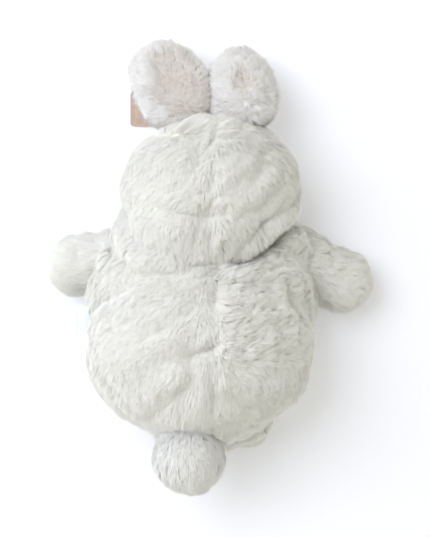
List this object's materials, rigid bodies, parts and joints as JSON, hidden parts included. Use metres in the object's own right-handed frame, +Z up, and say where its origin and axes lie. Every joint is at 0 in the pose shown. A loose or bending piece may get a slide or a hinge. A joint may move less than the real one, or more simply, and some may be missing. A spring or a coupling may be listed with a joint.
{
  "type": "stuffed bunny rabbit",
  "caption": "Plush bunny lying on its belly, with fur panels sewn round soft fillings, flexing head, ears, arms, legs and tail, and a swing tag.",
  "frame": {"origin": "on the surface the bunny lies on, under the middle of its bounding box", "axes": "+Z up out of the bunny's back, +Y towards its ears, +X to the right as seen from above its back"},
  "size_m": [0.2905, 0.3945, 0.1481],
  "materials": {
    "fur": "creamy white long-pile faux fur",
    "tail_fur": "brighter white long-pile faux fur",
    "ear_lining": "short curly pinkish beige pile",
    "filling": "polyester fibre filling",
    "eye_plastic": "polished",
    "washer_plastic": "moulded",
    "nose_velvet": "short velvet",
    "thread": "twisted sewing thread",
    "mouth_thread": "embroidery thread",
    "satin": "woven satin ribbon",
    "tag_card": "coated card, mauve pink with a tan border",
    "pin_plastic": "moulded plastic filament"
  },
  "bodies": {
    "torso": {"back_panel_left": "fur", "back_panel_right": "fur", "belly_panel": "fur", "torso_stuffing": "filling", "closing_stitches": "thread", "side_label": "satin"},
    "neck": {"neck_stuffing": "filling"},
    "head": {"head_back_left": "fur", "head_back_right": "fur", "face_panel": "fur", "head_stuffing": "filling", "eye_left": "eye_plastic", "eye_right": "eye_plastic", "eye_washer_left": "washer_plastic", "eye_washer_right": "washer_plastic", "nose": "nose_velvet", "mouth_stitches": "mouth_thread"},
    "tail": {"tail_cover": "tail_fur", "tail_stuffing": "filling", "tail_gathering_thread": "thread"},
    "tag": {"tag_back_leaf": "tag_card", "tag_pin": "pin_plastic"},
    "tag_leaf": {"tag_front_leaf": "tag_card"},
    "ear_left": {"ear_left_shell": "fur", "ear_left_lining": "ear_lining"},
    "arm_left": {"arm_left_back_panel": "fur", "arm_left_front_panel": "fur", "arm_left_stuffing": "filling"},
    "leg_left": {"leg_left_panel": "fur", "foot_left_sole": "fur", "leg_left_stuffing": "filling"},
    "ear_right": {"ear_right_shell": "fur", "ear_right_lining": "ear_lining"},
    "arm_right": {"arm_right_back_panel": "fur", "arm_right_front_panel": "fur", "arm_right_stuffing": "filling"},
    "leg_right": {"leg_right_panel": "fur", "foot_right_sole": "fur", "leg_right_stuffing": "filling"}
  },
  "joints": [
    {"name": "neck_turn", "type": "hinge", "parent": "torso", "child": "neck", "pos_m": [0, 0.022, 0.062], "axis": [0, 1, 0], "range_deg": [-25, 25], "stiffness_Nm_per_rad": 1.2},
    {"name": "neck_nod", "type": "hinge", "parent": "neck", "child": "head", "pos_m": [0, 0.022, 0.062], "axis": [1, 0, 0], "range_deg": [-10, 15], "stiffness_Nm_per_rad": 1.2},
    {"name": "ear_left_flop", "type": "hinge", "parent": "head", "child": "ear_left", "pos_m": [-0.03, 0.134, 0.062], "axis": [1, 0, 0], "range_deg": [-15, 100], "stiffness_Nm_per_rad": 0.05},
    {"name": "ear_right_flop", "type": "hinge", "parent": "head", "child": "ear_right", "pos_m": [0.028, 0.134, 0.062], "axis": [1, 0, 0], "range_deg": [-15, 100], "stiffness_Nm_per_rad": 0.05},
    {"name": "arm_left_swing", "type": "hinge", "parent": "torso", "child": "arm_left", "pos_m": [-0.072, 0.005, 0.0275], "axis": [0, 0, -1], "range_deg": [-30, 45], "stiffness_Nm_per_rad": 0.15},
    {"name": "arm_right_swing", "type": "hinge", "parent": "torso", "child": "arm_right", "pos_m": [0.072, 0.005, 0.0275], "axis": [0, 0, 1], "range_deg": [-20, 55], "stiffness_Nm_per_rad": 0.15},
    {"name": "leg_left_flex", "type": "hinge", "parent": "torso", "child": "leg_left", "pos_m": [-0.034, -0.114, 0.03], "axis": [1, 0, 0], "range_deg": [0, 75], "stiffness_Nm_per_rad": 0.15},
    {"name": "leg_right_flex", "type": "hinge", "parent": "torso", "child": "leg_right", "pos_m": [0.034, -0.114, 0.03], "axis": [1, 0, 0], "range_deg": [0, 75], "stiffness_Nm_per_rad": 0.15},
    {"name": "tail_wag", "type": "hinge", "parent": "torso", "child": "tail", "pos_m": [-0.018, -0.14, 0.098], "axis": [0, 0, 1], "range_deg": [-20, 20], "stiffness_Nm_per_rad": 0.05},
    {"name": "tag_swing", "type": "hinge", "parent": "ear_left", "child": "tag", "pos_m": [-0.069, 0.163, 0.044], "axis": [0, 0, 1], "range_deg": [-15, 35]},
    {"name": "tag_opening", "type": "hinge", "parent": "tag", "child": "tag_leaf", "pos_m": [-0.0615, 0.16, 0.0024], "axis": [-1, 0, 0], "range_deg": [0, 35]}
  ]
}
